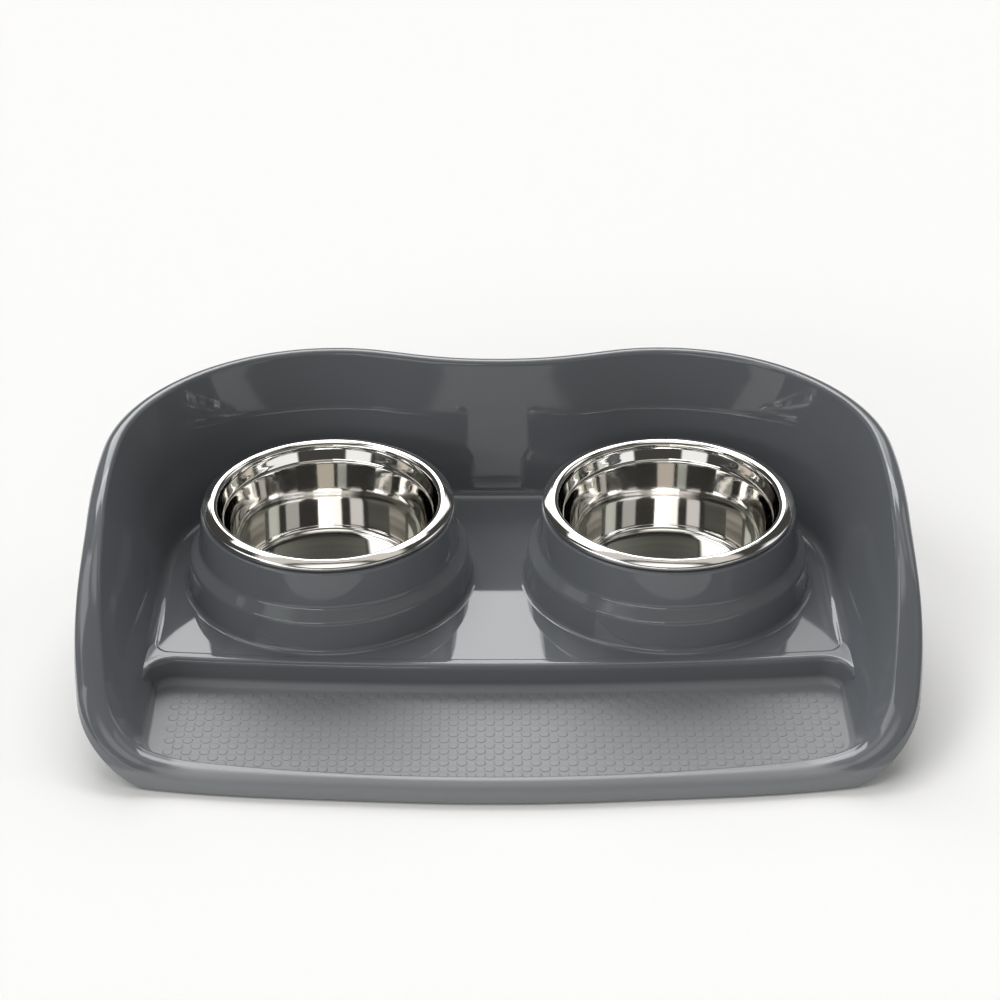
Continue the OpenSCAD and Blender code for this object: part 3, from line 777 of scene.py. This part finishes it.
def stud_cone(tree, source, bottom, top, height, lift):
    node = tree.nodes.new("GeometryNodeMeshCone")
    node.fill_type = "NONE"
    node.inputs["Vertices"].default_value = STUD_SIDES
    for socket, size, share in (
        ("Radius Top", "Stud Radius", top), ("Radius Bottom", "Stud Radius", bottom),
        ("Depth", "Stud Height", height),
    ):
        tree.links.new(maths(tree, "MULTIPLY", source.outputs[size], share), node.inputs[socket])
    return lifted(tree, source, node.outputs["Mesh"], lift)


def stud_cap(tree, source, radius, lift):
    node = tree.nodes.new("GeometryNodeMeshCircle")
    node.fill_type = "TRIANGLE_FAN"
    node.inputs["Vertices"].default_value = STUD_SIDES
    tree.links.new(maths(tree, "MULTIPLY", source.outputs["Stud Radius"], radius), node.inputs["Radius"])
    return lifted(tree, source, node.outputs["Mesh"], lift)


def one_stud(tree, source):
    nodes, link = tree.nodes, tree.links.new
    underside = nodes.new("GeometryNodeFlipFaces")
    link(stud_cap(tree, source, 1.0, -0.3), underside.inputs["Mesh"])
    join = nodes.new("GeometryNodeJoinGeometry")
    for part in (
        stud_cone(tree, source, 1.0, 0.94, 0.9, -0.3),
        stud_cone(tree, source, 0.94, 0.8, 0.3, 0.6),
        stud_cone(tree, source, 0.8, 0.5, 0.1, 0.9),
        stud_cap(tree, source, 0.5, 1.0),
        underside.outputs[0],
    ):
        link(part, join.inputs[0])
    sewn = nodes.new("GeometryNodeMergeByDistance")
    sewn.inputs["Distance"].default_value = 0.01 * MM
    link(join.outputs[0], sewn.inputs["Geometry"])
    smooth = nodes.new("GeometryNodeSetShadeSmooth")
    link(sewn.outputs[0], smooth.inputs["Geometry"])
    return smooth.outputs[0]

# %% Nodes that lay the studs
def stud_tree():
    tree = bpy.data.node_groups.new("lay_studs", "GeometryNodeTree")
    stud_inputs(tree)
    nodes, link = tree.nodes, tree.links.new
    source, sink = nodes.new("NodeGroupInput"), nodes.new("NodeGroupOutput")
    laid = nodes.new("GeometryNodeInstanceOnPoints")
    link(trim_to_field(tree, source, stud_lattice(tree, source)), laid.inputs["Points"])
    link(one_stud(tree, source), laid.inputs["Instance"])
    real = nodes.new("GeometryNodeRealizeInstances")
    link(laid.outputs[0], real.inputs[0])
    paint = nodes.new("GeometryNodeSetMaterial")
    link(real.outputs[0], paint.inputs["Geometry"])
    link(source.outputs["Material"], paint.inputs["Material"])
    link(paint.outputs[0], sink.inputs[0])
    return tree


lay_studs = stud_tree()
print("nodes in the stud tree:", len(lay_studs.nodes))

# %% [markdown]
# All three finishes have the same small faults of real life: a slow drift of
# tone and gloss, fine specks, and light rubbing. They could be painted on, but
# noise in Object coordinates needs no unwrapping and keeps its scale on every
# piece. One node group makes these masks, and each material mixes them in by
# its own amounts.

# %% Shared surface faults
def surface_faults():
    group = bpy.data.node_groups.new("surface_faults", "ShaderNodeTree")
    new_socket(group, "Vector", "Vector")
    new_socket(group, "Drift Scale", "Float", 9.0)
    new_socket(group, "Speck Scale", "Float", 900.0)
    for title in ("Drift", "Specks", "Rubbed"):
        new_socket(group, title, "Float", way="OUTPUT")
    nodes, link = group.nodes, group.links.new
    source, sink = nodes.new("NodeGroupInput"), nodes.new("NodeGroupOutput")
    drift = nodes.new("ShaderNodeTexNoise")
    drift.inputs["Detail"].default_value = 3.0
    link(source.outputs["Vector"], drift.inputs["Vector"])
    link(source.outputs["Drift Scale"], drift.inputs["Scale"])
    link(drift.outputs["Fac"], sink.inputs["Drift"])
    specks = nodes.new("ShaderNodeTexNoise")
    specks.inputs["Detail"].default_value = 2.0
    link(source.outputs["Vector"], specks.inputs["Vector"])
    link(source.outputs["Speck Scale"], specks.inputs["Scale"])
    link(specks.outputs["Fac"], sink.inputs["Specks"])
    rubbed = nodes.new("ShaderNodeTexNoise")
    rubbed.inputs["Scale"].default_value = 60.0
    rubbed.inputs["Detail"].default_value = 6.0
    rubbed.inputs["Roughness"].default_value = 0.7
    link(source.outputs["Vector"], rubbed.inputs["Vector"])
    pick = nodes.new("ShaderNodeMapRange")
    pick.inputs["From Min"].default_value = 0.56
    pick.inputs["From Max"].default_value = 0.74
    link(rubbed.outputs["Fac"], pick.inputs["Value"])
    link(pick.outputs["Result"], sink.inputs["Rubbed"])
    return group


faults = surface_faults()
print("masks:", [socket.name for socket in faults.interface.items_tree if socket.in_out == "OUTPUT"])

# %% [markdown]
# Every material starts in the same way: a Principled shader, its output, and
# the masks above on Object coordinates. Two more helpers blend colours and
# stretch a value from one range to another.

# %% Material helpers
def new_material(name):
    """Returns the material, its tree, its shader, the coordinates and the masks."""
    material = bpy.data.materials.new(name)
    material.use_nodes = True
    tree = material.node_tree
    tree.nodes.clear()
    shader = tree.nodes.new("ShaderNodeBsdfPrincipled")
    output = tree.nodes.new("ShaderNodeOutputMaterial")
    tree.links.new(shader.outputs[0], output.inputs["Surface"])
    where = tree.nodes.new("ShaderNodeTexCoord")
    masks = tree.nodes.new("ShaderNodeGroup")
    masks.node_tree = faults
    tree.links.new(where.outputs["Object"], masks.inputs["Vector"])
    return material, tree, shader, where, masks


def blend_colours(tree, fac, a, b):
    """A Mix node on two colours, each a socket or three plain numbers."""
    node = tree.nodes.new("ShaderNodeMix")
    node.data_type = "RGBA"
    tree.links.new(fac, node.inputs["Factor"])
    for socket, value in ((node.inputs[6], a), (node.inputs[7], b)):
        if isinstance(value, tuple):
            socket.default_value = (*value, 1.0)
        else:
            tree.links.new(value, socket)
    return node.outputs[2]


def remap(tree, value, low, high, to_low, to_high, kind="LINEAR"):
    node = tree.nodes.new("ShaderNodeMapRange")
    node.interpolation_type = kind
    node.inputs["From Min"].default_value = low
    node.inputs["From Max"].default_value = high
    node.inputs["To Min"].default_value = to_low
    node.inputs["To Max"].default_value = to_high
    tree.links.new(value, node.inputs["Value"])
    return node.outputs["Result"]


def bump_by(tree, shader, height, strength, distance):
    """Moves the shader's normal by a height; distance is in millimetres."""
    node = tree.nodes.new("ShaderNodeBump")
    node.inputs["Strength"].default_value = strength
    node.inputs["Distance"].default_value = distance * MM
    tree.links.new(height, node.inputs["Height"])
    tree.links.new(node.outputs[0], shader.inputs["Normal"])

# %% [markdown]
# The tray is moulded in one grey plastic. Most of it comes from a polished
# mould and is glossy; the apron's floor is satin, so that paws and cups don't
# slip. Two materials on one mesh would meet in a hard line, so one material
# turns from satin to gloss with the height above the table. The mould leaves
# a very slight waviness in the gloss.

# %% Grey plastic
SATIN_TO, GLOSS_FROM = 11.0, 14.0    # heights in millimetres
SATIN_GREY = (0.226, 0.235, 0.250)


def grey_plastic(name, satin_everywhere=False):
    material, tree, shader, where, masks = new_material(name)
    link = tree.links.new
    shader.inputs["IOR"].default_value = 1.5
    grey = blend_colours(tree, masks.outputs["Drift"], (0.139, 0.147, 0.162), (0.153, 0.162, 0.178))
    split = tree.nodes.new("ShaderNodeSeparateXYZ")
    link(where.outputs["Object"], split.inputs[0])
    if satin_everywhere:
        satin = remap(tree, split.outputs["Z"], -1.0, 1.0, 0.98, 1.02)
    else:
        satin = remap(tree, split.outputs["Z"], SATIN_TO * MM, GLOSS_FROM * MM, 1.0, 0.0)
    link(blend_colours(tree, satin, grey, SATIN_GREY), shader.inputs["Base Color"])
    rough = remap(tree, masks.outputs["Drift"], 0.3, 0.7, 0.03, 0.06)
    rough = maths(tree, "ADD", rough, maths(tree, "MULTIPLY", masks.outputs["Rubbed"], 0.05))
    rough = maths(tree, "ADD", rough, maths(tree, "MULTIPLY", satin, 0.42))
    link(rough, shader.inputs["Roughness"])
    grain = maths(tree, "MULTIPLY", masks.outputs["Specks"], maths(tree, "MULTIPLY", satin, 0.06))
    waves = maths(tree, "ADD", masks.outputs["Drift"], grain)
    bump_by(tree, shader, waves, 0.05, 1.0)
    return material


gloss_grey = grey_plastic("gloss_grey")
satin_grey = grey_plastic("satin_grey", satin_everywhere=True)
print("plastics:", gloss_grey.name, "and", satin_grey.name)

# %% [markdown]
# The bowls are polished stainless steel. Polishing on a lathe leaves very
# fine rings. An anisotropic shader could stretch the highlights in the same
# way, but real rings also show as rings, so a thin wave on the distance from
# each bowl's axis moves the normal a little, and the roughness drifts slowly.

# %% Polished steel
def polished_steel(name, axis_x):
    material, tree, shader, where, masks = new_material(name)
    link = tree.links.new
    shader.inputs["Metallic"].default_value = 1.0
    colour = blend_colours(tree, masks.outputs["Drift"], (0.70, 0.685, 0.66), (0.78, 0.77, 0.75))
    link(colour, shader.inputs["Base Color"])
    centre = tree.nodes.new("ShaderNodeMapping")
    centre.inputs["Location"].default_value = (-axis_x * MM, -BOWL_Y * MM, 0.0)
    link(where.outputs["Object"], centre.inputs["Vector"])
    rings = tree.nodes.new("ShaderNodeTexWave")
    rings.wave_type = "RINGS"
    rings.rings_direction = "Z"
    rings.inputs["Scale"].default_value = 320.0
    rings.inputs["Distortion"].default_value = 1.5
    rings.inputs["Detail"].default_value = 2.0
    link(centre.outputs[0], rings.inputs["Vector"])
    rough = remap(tree, masks.outputs["Drift"], 0.3, 0.7, 0.03, 0.06)
    for mask, share in ((rings.outputs["Fac"], 0.01), (masks.outputs["Rubbed"], 0.03)):
        rough = maths(tree, "ADD", rough, maths(tree, "MULTIPLY", mask, share))
    link(rough, shader.inputs["Roughness"])
    bump_by(tree, shader, rings.outputs["Fac"], 0.012, 0.3)
    return material


steel = {side: polished_steel("polished_steel_" + side, s * BOWL_X) for side, s in SIDES}
print("steels:", [material.name for material in steel.values()])

# %% [markdown]
# Four rubber feet stand under the tray and keep it from sliding. They barely
# show, so the CAD solids stay and only get a matt black rubber: dark, rough
# and with a fine grain.

# %% Rubber
def foot_rubber(name):
    material, tree, shader, where, masks = new_material(name)
    link = tree.links.new
    colour = blend_colours(tree, masks.outputs["Rubbed"], (0.018, 0.018, 0.019), (0.04, 0.04, 0.042))
    link(colour, shader.inputs["Base Color"])
    link(remap(tree, masks.outputs["Specks"], 0.3, 0.7, 0.65, 0.8), shader.inputs["Roughness"])
    bump_by(tree, shader, masks.outputs["Specks"], 0.3, 0.2)
    return material


rubber = foot_rubber("foot_rubber")
print("feet:", rubber.name)

# %% [markdown]
# The finish goes into the stud tree by the identifier of its input, before the
# object is first evaluated. The result is copied to a plain mesh, because the
# model that is exported keeps no modifier and no instance.

# %% Lay the studs and make them a plain mesh
modifier = studs.modifiers.new("lay_studs", "NODES")
modifier.node_group = lay_studs
for item in lay_studs.interface.items_tree:
    if item.item_type == "SOCKET" and item.in_out == "INPUT" and item.name == "Material":
        modifier[item.identifier] = satin_grey
bpy.context.view_layer.update()
ready = studs.evaluated_get(bpy.context.evaluated_depsgraph_get())
stud_mesh = bpy.data.meshes.new_from_object(ready)
studs.modifiers.clear()
studs.data = stud_mesh
points_each = 4 * STUD_SIDES + 2
print("studs:", len(stud_mesh.vertices) // points_each, "with", len(stud_mesh.polygons), "faces")

# %% [markdown]
# The pieces get their finishes. The feet are the model's own solids, so their
# mesh is left alone and only their material slots change.

# %% Finishes on the pieces
tray.data.materials.append(gloss_grey)
for side, piece in bowls.items():
    piece.data.materials.append(steel[side])
feet = [node for name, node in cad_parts.items() if name.startswith("foot_")]
for foot_solid in feet:
    for slot in foot_solid.material_slots:
        slot.material = rubber
print("feet in rubber:", len(feet))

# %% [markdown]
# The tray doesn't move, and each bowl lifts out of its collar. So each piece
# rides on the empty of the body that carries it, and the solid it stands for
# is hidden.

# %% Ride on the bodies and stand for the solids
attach(tray, "tray_body")
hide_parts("tray")
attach(studs, "tray_body")
for side, piece in bowls.items():
    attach(piece, "bowl_" + side + "_body")
    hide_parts("bowl_" + side)

# %% [markdown]
# The studio: a white floor that keeps the shadow, and soft boxes in a darker
# room. Gloss and polished steel need both the bright boxes and the dark gaps
# between them to show their form. The floor reaches far out, so that a low
# view sees nothing but floor behind the tray.

# %% Floor
FLOOR_REACH = 40.0    # metres


def floor_material():
    material = bpy.data.materials.new("white_floor")
    material.use_nodes = True
    tree = material.node_tree
    tree.nodes.clear()
    link = tree.links.new
    diffuse = tree.nodes.new("ShaderNodeBsdfDiffuse")
    diffuse.inputs["Color"].default_value = (0.96, 0.96, 0.96, 1.0)
    output = tree.nodes.new("ShaderNodeOutputMaterial")
    link(diffuse.outputs[0], output.inputs["Surface"])
    return material


floor_mesh = bpy.data.meshes.new("floor")
edge = [(*point, 0.0) for point in arc((0.0, 0.0), FLOOR_REACH, 0, 360, 64)[:-1]]
floor_mesh.from_pydata(edge, [], [tuple(range(len(edge)))])
floor = bpy.data.objects.new("floor", floor_mesh)
floor.data.materials.append(floor_material())
scene.collection.objects.link(floor)
print("floor:", 2 * FLOOR_REACH, "m across")

# %% [markdown]
# A soft box is a bright patch of the world, given by the direction of its
# middle and its half width and height, all in degrees. Directions count from
# the camera's side round to the right; heights count from the horizon. Area
# lamps would do as well, but patches of the world light the object evenly
# wherever it stands, and one group draws them all.

# %% Soft box
def soft_box_group():
    group = bpy.data.node_groups.new("soft_box", "ShaderNodeTree")
    for title in ("Turn", "Height", "Middle Turn", "Middle Height", "Half Width", "Half Height", "Edge"):
        new_socket(group, title, "Float")
    for title in ("Light", "Sum"):
        new_socket(group, title, "Color")
    new_socket(group, "Colour", "Color", way="OUTPUT")
    source, sink = group.nodes.new("NodeGroupInput"), group.nodes.new("NodeGroupOutput")
    away = maths(group, "SUBTRACT", source.outputs["Turn"], source.outputs["Middle Turn"])
    wrap = group.nodes.new("ShaderNodeMath")
    wrap.operation = "WRAP"
    group.links.new(away, wrap.inputs[0])
    wrap.inputs[1].default_value, wrap.inputs[2].default_value = 180.0, -180.0
    over = maths(group, "SUBTRACT", source.outputs["Height"], source.outputs["Middle Height"])
    masks = []
    for value, reach in ((wrap.outputs[0], "Half Width"), (over, "Half Height")):
        inside = maths(group, "SUBTRACT", source.outputs[reach], maths(group, "ABSOLUTE", value))
        share = maths(group, "DIVIDE", inside, source.outputs["Edge"])
        masks.append(remap(group, share, -0.5, 0.5, 0.0, 1.0, "SMOOTHSTEP"))
    mask = maths(group, "MULTIPLY", *masks)
    lit = group.nodes.new("ShaderNodeMix")
    lit.data_type, lit.blend_type = "RGBA", "ADD"
    group.links.new(mask, lit.inputs["Factor"])
    group.links.new(source.outputs["Sum"], lit.inputs[6])
    group.links.new(source.outputs["Light"], lit.inputs[7])
    group.links.new(lit.outputs[2], sink.inputs[0])
    return group

# %% [markdown]
# The boxes and the dim room stand where their reflections lie on the deck and
# the bowls of the real object. Seen straight on, a light of 1 would be white.

# %% World
ROOM = (0.065, 0.064, 0.060)
SOFT_BOXES = (    # name, turn, height, half width, half height, soft edge, light
    ("back", 190, 35.5, 16, 13.5, 5, (4.9, 4.9, 4.9)),
    ("back_right", 164, 37, 10, 12, 5, (2.3, 2.3, 2.3)),
    ("back_high", 184, 53, 36, 6, 4, (6.2, 6.2, 6.2)),
    ("left_high", -84, 55, 28, 12, 9, (2.6, 2.6, 2.6)),
    ("front_left", -31, 19, 28, 3.5, 1.5, (4.2, 4.2, 4.2)),
    ("front_left_high", -44, 35, 14, 10, 6, (0.85, 0.9, 0.85)),
    ("left", -92, 36, 16, 8, 4, (0.7, 0.7, 0.7)),
    ("warm_wall", 8, 26, 26, 5, 4, (0.95, 0.87, 0.78)),
    ("grey_wall", 20, 41, 70, 9, 8, (0.20, 0.21, 0.18)),
    ("door_left", -29, 8, 13, 5, 3, (1.1, 1.1, 1.1)),
    ("door_right", 50, 7, 17, 5, 3, (1.1, 1.1, 1.1)),
    ("right", 118, 37, 15, 10, 6, (1.2, 1.2, 1.2)),
    ("right_low", 112, 8, 30, 8, 6, (0.2, 0.2, 0.2)),
    ("overhead", 0, 90, 400, 14, 8, (1.6, 1.56, 1.5)),
    ("back_top", 180, 65, 75, 6, 4, (0.74, 0.70, 0.66)),
)


def studio_world():
    world = bpy.data.worlds.new("studio")
    scene.world = world
    world.use_nodes = True
    tree = world.node_tree
    tree.nodes.clear()
    link = tree.links.new
    where = tree.nodes.new("ShaderNodeTexCoord")
    split = tree.nodes.new("ShaderNodeSeparateXYZ")
    link(where.outputs["Generated"], split.inputs[0])
    x, y, z = split.outputs
    turn = maths(tree, "ARCTAN2", x, maths(tree, "MULTIPLY", y, -1.0))
    turn = maths(tree, "MULTIPLY", turn, math.degrees(1))
    height = maths(tree, "MULTIPLY", maths(tree, "ARCSINE", z), math.degrees(1))
    group = soft_box_group()
    light = None
    for title, middle, height_at, wide, tall, edge, colour in SOFT_BOXES:
        box = tree.nodes.new("ShaderNodeGroup")
        box.node_tree = group
        box.label = title
        link(turn, box.inputs["Turn"])
        link(height, box.inputs["Height"])
        for socket, value in (
            ("Middle Turn", middle), ("Middle Height", height_at),
            ("Half Width", wide), ("Half Height", tall), ("Edge", edge),
        ):
            box.inputs[socket].default_value = value
        box.inputs["Light"].default_value = (*colour, 1.0)
        if light is None:
            box.inputs["Sum"].default_value = (*ROOM, 1.0)
        else:
            link(light, box.inputs["Sum"])
        light = box.outputs[0]
    around = tree.nodes.new("ShaderNodeBackground")
    link(light, around.inputs["Color"])
    output = tree.nodes.new("ShaderNodeOutputWorld")
    link(around.outputs[0], output.inputs["Surface"])


studio_world()
print("soft boxes:", [box[0] for box in SOFT_BOXES])

# %% [markdown]
# Last, the scene is brought up to date.

# %% Finish
bpy.context.view_layer.update()
